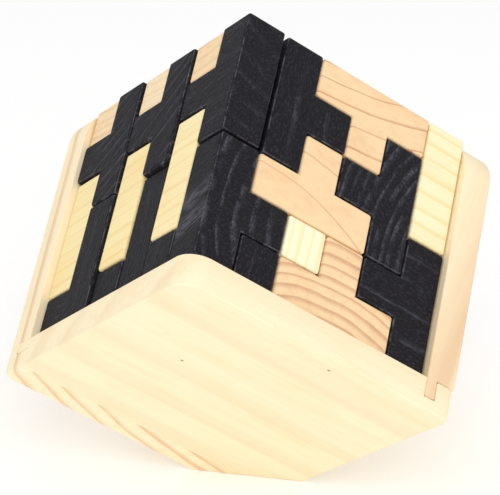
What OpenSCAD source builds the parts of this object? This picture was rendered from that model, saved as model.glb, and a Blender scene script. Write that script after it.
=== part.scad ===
// A packing cube of T-shaped wooden pieces in a three-sided corner tray.
//
// Each piece is four cells: a bar of three with a stem of one. Eighteen of them fill a layer
// that is two cells thick, and three equal layers fill a cube six cells on a side. The tray is
// three boards glued at right angles. Their common corner is sawn off flat, so that the cube
// stands on it with its body diagonal upright.

/* [Pieces] */
// Pitch of one cell of the cube
cell = 15; // [12:0.5:25]
// Gap between neighbouring pieces
piece_gap = 0.4; // [0.2:0.05:0.8]
// Width of the eased edges of a piece
piece_ease = 0.8; // [0.3:0.1:2]

/* [Loose fit] */
// How far a piece that has worked out stands proud of its face
proud = 1; // [0:0.1:2]
// Share of the gap that closes where a piece is pushed home
push_home = 0.85; // [0:0.05:0.9]

/* [Tray] */
// Thickness of the three boards
board_t = 11; // [8:0.5:16]
// How far the edges of the boards stand past the cube
board_lip = 2.2; // [0.5:0.1:5]
// Gap between the boards and the pieces
tray_gap = 0.4; // [0.2:0.05:1]
// Radius of the free corner of the front board
front_corner_r = 8; // [3:0.5:18]
// Radius of the free corner of the left board
left_corner_r = 11; // [3:0.5:18]
// Radius of the free corner of the right board
right_corner_r = 15; // [3:0.5:18]
// Radius of the board corners at the ends of the joints
joint_corner_r = 2.5; // [1:0.5:4]
// Wood left between the inner corner of the tray and the sawn foot
foot_web = 3.2; // [1:0.1:6]

/* [Glued joints] */
// Thickness of the tongue on a board's end
tongue_t = 4; // [2:0.25:6]
// Length of the tongue on a board's end
tongue_l = 6.5; // [3:0.25:7.5]
// Gap for glue around a tongue
glue_gap = 0.1; // [0.05:0.05:0.3]

/* [Hidden] */
// The tray's inner corner is the origin of the cube's own axes: X, Y and Z run along the three
// inner edges, and the floor board is the one at Z = 0.
X = [1, 0, 0];
Y = [0, 1, 0];
Z = [0, 0, 1];
cells = 6;
layers = 3;
layer_cells = cells / layers;
first_cell = tray_gap - piece_gap / 2;
reach = first_cell + cells * cell + board_lip;
past = 1;
far = 4 * (reach + board_t);
$fn = 64;

black = "#2f2d2f";
straw = "#f0d690";
peach = "#ecc188";
cream = "#f3e0b4";

// The layers, from the one against the left board to the one on the right.
LAYERS = ["left", "middle", "right"];

// The pieces of one layer: name, the cell at the crossing of bar and stem, the bar's axis, the
// stem's direction and the colour. A cell's Y counts from the layer's own first cell.
PIECES = [
    ["corner_post", [5, 1, 4], Z, -Y, black],
    ["upper_post", [4, 1, 4], Z, -X, black],
    ["top_beam", [2, 1, 5], X, -Z, peach],
    ["back_upper_post", [0, 1, 4], Z, -Y, straw],
    ["middle_post", [1, 1, 3], Z, X, black],
    ["middle_beam", [3, 1, 2], X, Z, peach],
    ["front_lower_post", [5, 1, 1], Z, -X, black],
    ["key_beam", [3, 0, 1], X, Y, straw],
    ["bottom_beam", [2, 1, 0], X, Z, peach],
    ["back_lower_post", [0, 1, 1], Z, X, black],
    ["foot_beam", [4, 0, 0], X, Y, black],
    ["front_mid_post", [5, 0, 2], Z, -X, straw],
    ["inner_foot_beam", [1, 0, 0], X, Z, straw],
    ["inner_back_post", [0, 0, 2], Z, X, black],
    ["inner_top_front_beam", [4, 0, 5], X, -Z, peach],
    ["inner_top_back_beam", [1, 0, 5], X, -Z, black],
    ["inner_core_back_post", [2, 0, 3], Z, -X, peach],
    ["inner_core_front_post", [3, 0, 3], Z, X, black],
];

// The pieces that have shifted from their nominal places: those that stand proud, and the
// rows in which the gaps have closed.
slip = push_home * piece_gap;
SHIFTED = [
    ["left_corner_post", 1.1 * proud * X],
    ["left_front_lower_post", proud * X],
    ["middle_corner_post", 0.9 * proud * X],
    ["middle_key_beam", -slip * X],
    ["middle_middle_beam", -slip * X],
    ["middle_foot_beam", -slip * X],
    ["middle_front_lower_post", -2 * slip * X],
    ["right_corner_post", 0.4 * proud * X + slip * Z],
    ["right_upper_post", -slip * X],
];

function piece_name(layer, piece) = str(LAYERS[layer], "_", piece[0]);

function shift_of(name) = let (i = search([name], SHIFTED)[0]) i == [] ? 0 * X : SHIFTED[i][1];

// A rectangle with its corners cut at 45 degrees.
module eased_rect(a, b) {
    x = a / 2;
    y = b / 2;
    e = piece_ease;
    polygon([
        [x, y - e], [x - e, y], [e - x, y], [-x, y - e],
        [-x, e - y], [e - x, -y], [x - e, -y], [x, e - y],
    ]);
}

// A centred block with all twelve edges eased.
module eased_block(size) {
    intersection() {
        linear_extrude(size.z, center = true) eased_rect(size.x, size.y);
        rotate([90, 0, 0]) linear_extrude(size.y, center = true) eased_rect(size.x, size.z);
        rotate([90, 0, 90]) linear_extrude(size.x, center = true) eased_rect(size.y, size.z);
    }
}

// A T piece around the centre of its crossing cell.
module tee(bar, stem) {
    width = cell - piece_gap;
    along_bar = [for (v = bar) abs(v)];
    along_stem = [for (v = stem) abs(v)];
    stem_l = width + cell / 2 + piece_gap / 2;
    eased_block(width * [1, 1, 1] + 2 * cell * along_bar);
    translate(stem * stem_l / 2) eased_block(width * [1, 1, 1] + (stem_l - width) * along_stem);
}

// One piece of the cube in its place in the tray.
module piece(layer, p) {
    crossing = p[1] + layer * layer_cells * Y + [0.5, 0.5, 0.5];
    color(p[4]) stand_up()
        translate(first_cell * [1, 1, 1] + cell * crossing + shift_of(piece_name(layer, p)))
            tee(p[2], p[3]);
}

// Turns the cube's axes so that its body diagonal is upright, over the middle of the foot.
module stand_up() {
    translate([0, 0, foot_web]) rotate([-acos(1 / sqrt(3)), 0, 0]) rotate([0, 0, -135])
        children();
}

// Saws off whatever reaches below the foot.
module sawn_flat() {
    difference() {
        stand_up() children();
        translate([-far / 2, -far / 2, -far]) cube(far);
    }
}

// Takes the square edge off a corner at the origin that points along -X and -Y.
module corner_cutter(r, length) {
    difference() {
        translate([-past, -past, 0]) cube([r + past, r + past, length]);
        translate([r, r, -past]) cylinder(r = r, h = length + 2 * past);
    }
}

// A board in the XY plane, below Z = 0, from its low ends to the reach of the tray. Its far
// corner is free and well rounded, with the radius free_r. A side that laps another board has
// a small corner.
module board_blank(low_x, low_y, free_r) {
    length = board_t + 2 * past;
    translate([0, 0, -board_t]) difference() {
        translate([low_x, low_y, 0]) cube([reach - low_x, reach - low_y, board_t]);
        translate([reach, reach, -past]) rotate(180) corner_cutter(free_r, length);
        if (low_y < 0)
            translate([reach, low_y, -past]) rotate(90) corner_cutter(joint_corner_r, length);
        if (low_x < 0)
            translate([low_x, reach, -past]) rotate(-90) corner_cutter(joint_corner_r, length);
    }
}

// The space that a tongue takes below Z = 0, where it stands out to -Y and runs along X from
// start to end. A groove is the same space with a gap all round.
module tongue(start, end, gap = 0) {
    depth = tongue_t + gap;
    translate([start, -tongue_l - gap, -depth]) cube([end - start, tongue_l + gap + past, depth]);
}

// The two turns that carry a board in the XY plane into the other two planes, with its normal
// outwards.
module onto_yz() {
    rotate([90, 0, 90]) children();
}
module onto_zx() {
    rotate([-90, 0, 0]) rotate([0, 0, -90]) children();
}

// Lets X and Z change places.
module swap_xz() {
    mirror([1, 0, -1]) children();
}

// The board under the cube. Its end at Y = 0 has a tongue that is let into the left board,
// and it laps the right board, for whose tongue it is grooved.
module front_board() {
    color(cream) sawn_flat() difference() {
        union() {
            board_blank(-board_t, 0, front_corner_r);
            tongue(-board_t, reach);
        }
        onto_yz() tongue(0, reach + past, glue_gap);
    }
}

// The board on the left. It laps the ends of the other two and is grooved for their tongues.
module left_board() {
    color(cream) sawn_flat() difference() {
        onto_zx() board_blank(-board_t, -board_t, left_corner_r);
        tongue(-board_t - past, reach + past, glue_gap);
        swap_xz() tongue(-tongue_t, reach + past, glue_gap);
    }
}

// The board on the right. Its ends at Y = 0 and Z = 0 have tongues for the other two boards.
module right_board() {
    color(cream) sawn_flat() union() {
        onto_yz() board_blank(0, 0, right_corner_r);
        onto_yz() tongue(0, reach);
        swap_xz() tongue(0, reach);
    }
}

for (layer = [0 : layers - 1]) for (p = PIECES)
    piece(layer, p);
front_board();
left_board();
right_board();
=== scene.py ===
import math
import random

import bmesh
import bpy
import numpy as np
from mathutils import Matrix, Vector


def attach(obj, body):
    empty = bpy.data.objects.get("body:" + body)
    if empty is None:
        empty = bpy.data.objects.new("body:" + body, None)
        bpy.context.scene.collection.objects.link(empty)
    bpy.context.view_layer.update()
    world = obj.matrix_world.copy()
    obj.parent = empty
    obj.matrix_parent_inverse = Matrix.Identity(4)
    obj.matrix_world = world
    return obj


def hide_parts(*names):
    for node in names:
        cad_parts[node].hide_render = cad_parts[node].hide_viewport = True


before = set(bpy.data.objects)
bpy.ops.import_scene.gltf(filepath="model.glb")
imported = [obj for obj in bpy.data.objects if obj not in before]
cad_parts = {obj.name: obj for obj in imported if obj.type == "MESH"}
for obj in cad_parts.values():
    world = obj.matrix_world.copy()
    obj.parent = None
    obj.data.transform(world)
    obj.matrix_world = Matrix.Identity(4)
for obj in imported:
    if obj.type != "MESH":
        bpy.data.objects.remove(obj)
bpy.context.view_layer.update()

# The cube stands on one corner. The columns are its own axes X, Y and Z in the row frame.
AXES = Matrix((
    (-1 / math.sqrt(2), 1 / math.sqrt(2), 0),
    (-1 / math.sqrt(6), -1 / math.sqrt(6), 2 / math.sqrt(6)),
    (1 / math.sqrt(3), 1 / math.sqrt(3), 1 / math.sqrt(3)),
))
BOARDS = ("front_board", "left_board", "right_board")
PIECES = sorted(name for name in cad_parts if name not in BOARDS)


def on_axes(node):
    """A node's vertices along the cube's own axes, as rows."""
    back = np.array(AXES.transposed())
    return np.array([v.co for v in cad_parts[node].data.vertices]) @ back.T


def size_of(node):
    """A piece's extents along the cube's axes, the smallest first."""
    points = on_axes(node)
    return sorted((points.max(0) - points.min(0)).tolist())


THICKNESS, STEM_SIDE, BAR = size_of(PIECES[0])
CELL = (BAR - THICKNESS) / 2
INNER_CORNER = Vector((on_axes("right_board")[:, 0].max(),
                       on_axes("left_board")[:, 1].max(),
                       on_axes("front_board")[:, 2].max()))


def at_cells(x, y, z):
    """The place in the row frame of a point given in cells from the tray's inner corner."""
    return AXES @ (INNER_CORNER + CELL * Vector((x, y, z)))


# ---------------------------------------------------------------- materials

class Shader:
    """A material's node tree, with short ways to add nodes. Each returns an output socket."""

    def __init__(self, name):
        self.material = bpy.data.materials.new(name)
        self.material.use_nodes = True
        self.tree = self.material.node_tree
        self.bsdf = self.tree.nodes["Principled BSDF"]

    def add(self, kind, inputs, output=0, **settings):
        node = self.tree.nodes.new("ShaderNode" + kind)
        for key, value in settings.items():
            setattr(node, key, value)
        for key, value in inputs.items():
            self.feed(node.inputs[key], value)
        return node.outputs[output]

    def feed(self, socket, value):
        """Links a socket to another, or sets its value."""
        if isinstance(value, bpy.types.NodeSocket):
            self.tree.links.new(value, socket)
        else:
            socket.default_value = value

    def math(self, operation, *values, clamp=False):
        return self.add("Math", dict(enumerate(values)), operation=operation, use_clamp=clamp)

    def vector(self, operation, *values, output=0):
        return self.add("VectorMath", dict(enumerate(values)), output, operation=operation)

    def noise(self, place, scale, detail=2.0, roughness=0.5, output="Fac"):
        """Noise whose grains measure 1 / scale, given for each axis."""
        stretched = self.vector("MULTIPLY", place, scale)
        inputs = {"Vector": stretched, "Scale": 1.0, "Detail": detail, "Roughness": roughness}
        return self.add("TexNoise", inputs, output)

    def smooth(self, value, low, high, to_low=0.0, to_high=1.0):
        """Goes smoothly from to_low to to_high while the value goes from low to high."""
        inputs = {"Value": value, "From Min": low, "From Max": high, "To Min": to_low,
                  "To Max": to_high}
        return self.add("MapRange", inputs, interpolation_type="SMOOTHSTEP")

    def mix(self, factor, a, b, blend="MIX"):
        return self.add("Mix", {0: factor, 6: a, 7: b}, 2, data_type="RGBA", blend_type=blend,
                        clamp_factor=True)


def colour(red, green, blue):
    """A linear colour from 8-bit sRGB levels."""
    levels = [c / 255 for c in (red, green, blue)]
    linear = [c / 12.92 if c <= 0.04045 else ((c + 0.055) / 1.055) ** 2.4 for c in levels]
    return (*linear, 1.0)


# How far the rings wander from circles, in metres, and how unequal the years are.
RING_SWAY = 0.003
UNEVEN_YEARS = 0.7
PALEST_WOOD = colour(254, 247, 214)
PALEST_LINE = colour(246, 222, 140)
# A mark is dark inside the first radius and has faded at the second.
MARK = colour(120, 95, 80)
MARK_RADII = (0.0002, 0.0008)


def in_log(s):
    """The place of each point in the frame of the log that its piece was cut from."""
    return s.add("Attribute", {}, "Vector", attribute_name="log")


def own(s, name):
    """A number that the object carries as a property of its own."""
    return s.add("Attribute", {}, "Fac", attribute_type="OBJECT", attribute_name=name)


def year_rings(s, place):
    """How far each point is into latewood, from 0 to 1. The pith is the log's Z axis."""
    gap = own(s, "ring_gap")
    waves = s.noise(place, (45, 45, 16), 2.0, output="Color")
    sway = s.vector("SCALE", s.vector("SUBTRACT", waves, (0.5, 0.5, 0.5)))
    sway.node.inputs["Scale"].default_value = RING_SWAY
    across = s.vector("MULTIPLY", s.vector("ADD", place, sway), (1, 1, 0))
    radius = s.vector("LENGTH", across, output="Value")
    years = s.math("DIVIDE", s.math("SUBTRACT", radius, own(s, "first_ring")), gap)
    mood = s.add("TexNoise", {"W": years, "Scale": 0.7, "Detail": 1.0}, noise_dimensions="1D")
    uneven = s.math("MULTIPLY_ADD", s.math("SUBTRACT", mood, 0.5), UNEVEN_YEARS, years)
    to_go = s.math("MULTIPLY", s.math("SUBTRACT", 1.0, s.math("FRACT", uneven)), gap)
    share = s.math("DIVIDE", to_go, own(s, "ring_line"))
    darkens = s.smooth(share, 0.15, 1.0, 1.0, 0.0)
    return s.math("MULTIPLY", darkens, s.smooth(share, 0.0, 0.25))


def fibres(s, place):
    """Fine streaks along the log, from about 0 to 1."""
    return s.smooth(s.noise(place, (1500, 1500, 60), 3.0, 0.6), 0.3, 0.7)


def grain_bump(s, rings, ring_height, streaks, strength, depth):
    """Latewood stands up from the softer wood, and the streaks are felt."""
    height = s.math("MULTIPLY_ADD", rings, ring_height, streaks)
    bump = s.add("Bump", {"Strength": strength, "Distance": depth, "Height": height})
    s.feed(s.bsdf.inputs["Normal"], bump)


def natural_pine(name, early, late, blush, marks=()):
    """Bare sanded pine. blush is the colour that wanders in over the earlywood, and marks are
    places in the row frame where something has pricked the wood."""
    s = Shader(name)
    place = in_log(s)
    rings = year_rings(s, place)
    streaks = fibres(s, place)
    patches = s.smooth(s.noise(place, (70, 70, 22), 3.0), 0.45, 0.75)
    base = s.mix(s.math("MULTIPLY", patches, 0.6), early, blush)
    paler = s.mix(own(s, "paleness"), base, PALEST_WOOD)
    faint = s.math("MULTIPLY_ADD", s.noise(place, (160, 160, 30), 2.0), 0.8, 0.6)
    shown = s.math("MULTIPLY", s.math("MULTIPLY", rings, own(s, "ring_show")), faint, clamp=True)
    line_colour = s.mix(own(s, "paleness"), late, PALEST_LINE)
    lined = s.mix(shown, paler, line_colour)
    broad = s.smooth(s.noise(place, (330, 330, 13), 3.0, 0.6), 0.42, 0.75)
    dusk = s.math("MULTIPLY_ADD", s.math("SUBTRACT", 1.0, streaks), 0.05,
                  s.math("MULTIPLY", broad, 0.12))
    fibred = s.mix(dusk, lined, late)
    pores = s.smooth(s.noise(place, (900, 900, 160), 2.0), 0.70, 0.78)
    marked = s.mix(s.math("MULTIPLY", pores, 0.25), fibred, late)
    for mark in marks:
        away = s.vector("DISTANCE", s.add("TexCoord", {}, "Object"), mark, output="Value")
        marked = s.mix(s.smooth(away, *MARK_RADII, 0.8, 0.0), marked, MARK)
    s.feed(s.bsdf.inputs["Base Color"], marked)
    s.bsdf.inputs["Roughness"].default_value = 0.6
    s.bsdf.inputs["Specular IOR Level"].default_value = 0.3
    grain_bump(s, rings, 0.5, streaks, 0.2, 0.0002)
    return s.material


def stained_pine(name, deep, light, worn_and_highlit):
    """Black-stained pine: the latewood takes less stain; the edges are lighter in patches, partly
    stain that has come off and partly a painted highlight, and tiny light specks are painted
    glints.
    """
    s = Shader(name)
    place = in_log(s)
    rings = year_rings(s, place)
    streaks = fibres(s, place)
    grains = s.smooth(s.noise(place, (1100, 1100, 260), 3.0, 0.6), 0.38, 0.66)
    gaps = s.smooth(s.noise(place, (170, 170, 50), 3.0, 0.6), 0.36, 0.62)
    broken = s.math("MULTIPLY", s.math("MULTIPLY_ADD", grains, 0.8, 0.2), gaps)
    shown = s.math("MULTIPLY", s.math("MULTIPLY", rings, own(s, "ring_show")), broken)
    lined = s.mix(shown, deep, light)
    # Tiny light specks over the black are painted glints, the sparkle of the stained wood.
    painted_glints = s.smooth(s.noise(place, (1500, 1500, 700), 3.0, 0.7), 0.45, 0.80)
    glinted = s.mix(s.math("MULTIPLY", painted_glints, 0.35), lined, light)
    # The lighter edges are partly stain that has come off and partly a painted highlight along
    # the roundings.
    edge = s.smooth(s.add("Attribute", {}, "Fac", attribute_name="edge"), 0.35, 1.0)
    edge_patches = s.smooth(s.noise(place, (260, 260, 260), 4.0, 0.7), 0.40, 0.62)
    wear_and_highlight = s.math("MULTIPLY", s.math("MULTIPLY", edge, edge_patches), 0.33)
    s.feed(s.bsdf.inputs["Base Color"], s.mix(wear_and_highlight, glinted, worn_and_highlit))
    rough = s.math("MULTIPLY_ADD", streaks, 0.12, 0.5)
    s.feed(s.bsdf.inputs["Roughness"], rough)
    s.bsdf.inputs["Specular IOR Level"].default_value = 0.1
    grain_bump(s, rings, 0.6, streaks, 0.3, 0.0003)
    return s.material


# Two small marks on the outer face of the front board.
UNDERSIDE = (on_axes("front_board")[:, 2].min() - INNER_CORNER.z) / CELL
PRICKS = (at_cells(4.225, 3.347, UNDERSIDE), at_cells(2.147, 5.707, UNDERSIDE))

# The material slots of the CAD nodes, and what each is here.
WOODS = {
    "black_stained_pine": stained_pine("black_stained_pine", colour(27, 25, 29),
                                       colour(88, 88, 97), colour(140, 138, 144)),
    "straw_pine": natural_pine("straw_pine", colour(250, 231, 172), colour(226, 178, 104),
                               colour(248, 212, 138)),
    "peach_pine": natural_pine("peach_pine", colour(247, 214, 168), colour(176, 104, 72),
                               colour(243, 200, 152)),
    "cream_pine": natural_pine("cream_pine", colour(252, 236, 200), colour(226, 184, 142),
                               colour(251, 226, 182), PRICKS),
}


# ---------------------------------------------------------------- where each piece was in its log

class Log:
    """The log that a piece was cut from, with its lengths in cells: where the pith crosses the
    cube, the direction of the fibres, the gap between the year rings, the radius of one of them,
    the width of the latewood, how plainly it shows and how pale the wood is."""

    def __init__(self, pith, fibre, gap, first=0.0, line=0.07, show=0.5, pale=0.0):
        z = (AXES @ Vector(fibre)).normalized()
        x = z.orthogonal().normalized()
        self.frame = Matrix((x, z.cross(x), z)).transposed().to_4x4()
        self.frame.translation = at_cells(*pith)
        self.looks = {"ring_gap": gap * CELL, "first_ring": first * CELL,
                      "ring_line": line * CELL, "ring_show": show, "paleness": pale}

    def mark(self, piece):
        """Tells a piece, whose mesh is in the row frame, which part of the log it is."""
        inward = self.frame.inverted()
        log = piece.data.attributes.new("log", "FLOAT_VECTOR", "POINT")
        for vertex, place in zip(piece.data.vertices, log.data):
            place.vector = inward @ vertex.co
        for name, value in self.looks.items():
            piece[name] = value


# The logs of the pieces whose grain shows from the front.
GRAIN = {
    "right_top_beam": Log((5.2, 6, 9.0), (1, 0.62, 0), 0.46, 3.56, 0.08, 0.6),
    "right_middle_beam": Log((4.8, 6, 0.2), (1, 0.95, 0), 0.94, 2.59, 0.09, 0.4),
    "right_middle_post": Log((-0.3, 6, 2.2), (0, 0.8, 1), 0.22, 0, 0.15, 0.95),
    "right_front_lower_post": Log((2.0, 6, 1.5), (0, 1, 0.3), 0.40, 3.7, 0.2, 0.9),
    "right_back_lower_post": Log((3, 6, 5.5), (1, 0.1, 0.03), 0.65, 2.95, 0.2, 0.6),
    "right_corner_post": Log((4, 6, 8.5), (0.1, 1, 0.05), 0.5, 0, 0.2, 0.3),
    "right_upper_post": Log((-1, 5, 4), (0.02, 0.1, 1), 0.8, 0, 0.2, 0.5),
    "right_back_upper_post": Log((3, 6, 8.2), (1, 0.1, 0.02), 0.40, 2.4, 0.18, 0.5, 0.6),
    "right_key_beam": Log((7, 5, 1), (0.03, 0.2, 1), 0.25, 3.3, 0.14, 0.5, 0.9),
    "right_bottom_beam": Log((2.4, 6, -3.4), (0.25, 1, 0), 0.25, 4.33, 0.15, 0.5),
    "right_foot_beam": Log((8, 5, 1), (0, 0.2, 1), 0.7, 0, 0.1, 0.3),
    "left_corner_post": Log((6, 1, 9), (0.1, 0.87, 0.5), 0.3, 0, 0.09, 0.9),
    "middle_corner_post": Log((6, 3, 9.5), (0.1, 0.82, 0.58), 0.34, 0, 0.09, 0.9),
    "left_inner_top_front_beam": Log((4, 1, 10), (1, 0, 0.02), 0.25, 0, 0.12, 0.25, 0.2),
    "middle_inner_top_front_beam": Log((4, 3, 10), (1, 0, 0.02), 0.22, 0, 0.12, 0.2, 0.4),
    "right_inner_top_front_beam": Log((4, 4, 10), (1, 0, 0.02), 0.3, 0, 0.12, 0.25, 0.1),
    "left_front_mid_post": Log((5, 1, 8), (0.02, 1, 0.05), 0.4, 0, 0.1, 0.3, 0.1),
    "middle_front_mid_post": Log((5, 3, -5), (0.02, 1, 0.04), 0.35, 0, 0.1, 0.3, 0.1),
    "right_front_mid_post": Log((5, 5, 9), (0.02, 1, 0.03), 0.3, 0, 0.1, 0.3, 0.2),
}


def log_of(name, crossing, bar):
    """A piece's log: the one that is chosen for it, or one that is drawn by lot, whose fibres
    run nearly along the bar."""
    if name in GRAIN:
        return GRAIN[name]
    draw = random.Random(name)
    tilt = Vector([draw.uniform(-0.06, 0.06) for _ in range(3)])
    side = Vector([draw.uniform(-1, 1) for _ in range(3)]).normalized()
    pith = crossing + side.cross(bar).normalized() * draw.uniform(1.5, 5)
    return Log(pith, bar + tilt, draw.choice((0.3, 0.4, 0.5)), 0, 0.1, 0.4)


# ---------------------------------------------------------------- the loose pieces

# The radius of a piece's edges and how much it differs from piece to piece, in metres and as
# shares. The facets of a rounding are counted by ROUND_STEPS.
ROUNDING = 0.0010
ROUNDING_SHARES = (0.95, 1.1)
ROUND_STEPS = 4


def tee_shape(reach_of_stem, rounding):
    """A T around the middle of its crossing: bar along X, stem along +Y. Its edges are rounded,
    and the attribute edge is 1 in the middle of a rounding and 0 on the flats."""
    b, t, s = BAR / 2, THICKNESS / 2, reach_of_stem
    outline = [(-b, -t), (b, -t), (b, t), (t, t), (t, s), (-t, s), (-t, t), (-b, t)]
    shape = bmesh.new()
    floor = shape.faces.new([shape.verts.new((x, y, -t)) for x, y in outline])
    raised = bmesh.ops.extrude_face_region(shape, geom=[floor])["geom"]
    bmesh.ops.translate(shape, vec=(0, 0, 2 * t),
                        verts=[v for v in raised if isinstance(v, bmesh.types.BMVert)])
    bmesh.ops.recalc_face_normals(shape, faces=shape.faces)
    convex = [e for e in shape.edges if e.calc_face_angle_signed() > 0]
    bmesh.ops.bevel(shape, geom=convex, offset=rounding, segments=ROUND_STEPS, profile=0.5,
                    affect="EDGES")
    edge = shape.verts.layers.float.new("edge")
    deepest = (1 - math.sqrt(0.5)) * rounding
    for v in shape.verts:
        x, y, z = (abs(v.co.x), v.co.y, abs(v.co.z))
        faces = (b - x, x - t if y > t else b, y + t, t - y if x > t else b, s - y, t - z)
        v[edge] = min(1, min(abs(d) for d in faces) / deepest)
    return shape


def place_tee(name):
    """One T piece where the frame has it, standing in for the CAD node."""
    points = on_axes(name)
    low, high = points.min(0), points.max(0)
    _, stem, bar = (int(axis) for axis in np.argsort(high - low))
    at_bar_end = points[points[:, bar] > high[bar] - CELL / 2]
    points_up = at_bar_end[:, stem].mean() < (low[stem] + high[stem]) / 2
    middle = (low + high) / 2
    middle[stem] = (low[stem] + THICKNESS / 2) if points_up else (high[stem] - THICKNESS / 2)
    middle = Vector(middle.tolist())
    along_bar, along_stem = Vector((0, 0, 0)), Vector((0, 0, 0))
    along_bar[bar] = 1
    along_stem[stem] = 1 if points_up else -1
    x, y = AXES @ along_bar, AXES @ along_stem
    place = Matrix((x, y, x.cross(y))).transposed().to_4x4()
    place.translation = AXES @ middle

    draw = random.Random(name + " edges")
    shape = tee_shape(STEM_SIDE - THICKNESS / 2, ROUNDING * draw.uniform(*ROUNDING_SHARES))
    shape.transform(place)
    log = log_of(name, (middle - INNER_CORNER) / CELL, along_bar)
    finish_piece(shape, name, name, log)


def finish_piece(shape, node, body, log):
    """Makes an object of a shape in place of a CAD node, cut from a log and tied to a body."""
    mesh = bpy.data.meshes.new(node + "_wood")
    shape.to_mesh(mesh)
    shape.free()
    mesh.shade_smooth()
    piece = bpy.data.objects.new(mesh.name, mesh)
    bpy.context.scene.collection.objects.link(piece)
    flats = piece.modifiers.new("flats", "WEIGHTED_NORMAL")
    flats.keep_sharp = True
    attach(piece, body)
    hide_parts(node)
    log.mark(piece)
    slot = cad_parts[node].material_slots[0].material.name
    mesh.materials.append(WOODS[slot])


for name in PIECES:
    place_tee(name)


# ---------------------------------------------------------------- the tray

# The logs of the boards. One of them also paints shade.
BOARD_GRAIN_AND_SHADE = {
    "front_board": Log((3, 9, -7), (1, 0.03, 0.02), 1.1, 0, 0.6, 0.2, 0.05),
    "left_board": Log((-1, 11, 0), (0.02, 0, 1), 0.42, 0, 0.2, 0.75),
    # The right board's very wide ring band is painted shade: it makes the board more tan towards
    # its lower part, where the light falls off.
    "right_board": Log((5, 6, 0), (-0.2, 0, 1), 4.0, 5.7, 2.4, 0.7),
}
BOARD_ROUNDING = 0.0006
SAME_PLANE = math.radians(0.5)
ARRIS = math.radians(30)


def soft_board(name):
    """A board with the edges that sandpaper leaves."""
    shape = bmesh.new()
    shape.from_mesh(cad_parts[name].data)
    bmesh.ops.remove_doubles(shape, verts=shape.verts, dist=1e-6)
    bmesh.ops.dissolve_limit(shape, angle_limit=SAME_PLANE, verts=shape.verts,
                             edges=shape.edges)
    bmesh.ops.recalc_face_normals(shape, faces=shape.faces)
    arrises = [e for e in shape.edges if e.is_manifold and e.calc_face_angle_signed() > ARRIS]
    bmesh.ops.bevel(shape, geom=arrises, offset=BOARD_ROUNDING, segments=3, profile=0.5,
                    affect="EDGES", clamp_overlap=True)
    finish_piece(shape, name, "tray", BOARD_GRAIN_AND_SHADE[name])


for name in BOARDS:
    soft_board(name)


# ---------------------------------------------------------------- studio

def white_floor():
    """A pale floor, wide enough for every view."""
    half = 3.0
    mesh = bpy.data.meshes.new("floor")
    mesh.from_pydata([(-half, -half, 0), (half, -half, 0), (half, half, 0), (-half, half, 0)],
                     [], [(0, 1, 2, 3)])
    floor = bpy.data.objects.new("floor", mesh)
    bpy.context.scene.collection.objects.link(floor)
    s = Shader("floor_white")
    s.bsdf.inputs["Base Color"].default_value = (0.96, 0.96, 0.96, 1)
    s.bsdf.inputs["Emission Color"].default_value = (1, 1, 1, 1)
    s.bsdf.inputs["Emission Strength"].default_value = 0.1
    s.bsdf.inputs["Roughness"].default_value = 0.9
    s.bsdf.inputs["Specular IOR Level"].default_value = 0.1
    mesh.materials.append(s.material)


def softbox(name, place, target, side, power):
    """A square area light that looks at a point."""
    light = bpy.data.lights.new(name, "AREA")
    light.size = side
    light.energy = power
    lamp = bpy.data.objects.new(name, light)
    bpy.context.scene.collection.objects.link(lamp)
    lamp.location = place
    lamp.rotation_euler = (Vector(target) - Vector(place)).to_track_quat("-Z", "Y").to_euler()


def studio():
    """Three soft lights in front of the cube, in a white room."""
    middle = (0, 0, 0.08)
    softbox("key", (0.5, -1.4, 1.2), middle, 1.0, 11)
    softbox("left", (-0.9, -1.3, 1.0), middle, 1.0, 1.7)
    softbox("low_front", (0.1, -1.5, 0.12), middle, 0.8, 0.4)
    world = bpy.data.worlds.new("studio")
    bpy.context.scene.world = world
    world.use_nodes = True
    room = world.node_tree.nodes["Background"]
    room.inputs["Color"].default_value = (1, 1, 1, 1)
    room.inputs["Strength"].default_value = 0.8
    bpy.context.scene.view_settings.view_transform = "Standard"


def photographer():
    """The camera, a little above the cube, turned so that the front corner is left of middle."""
    camera = bpy.data.cameras.new("camera")
    camera.sensor_width = 36
    camera.lens = 180.11
    rig = bpy.data.objects.new("camera", camera)
    bpy.context.scene.collection.objects.link(rig)
    place = Vector((0.1832, -0.7322, 0.3987))
    towards = Vector((-0.2247, 0.8928, -0.3904))
    level = towards.to_track_quat("-Z", "Y")
    roll = Matrix.Rotation(math.radians(-0.53), 4, "Z")
    rig.matrix_world = Matrix.Translation(place) @ level.to_matrix().to_4x4() @ roll
    bpy.context.scene.camera = rig


white_floor()
studio()
photographer()

bpy.context.view_layer.update()
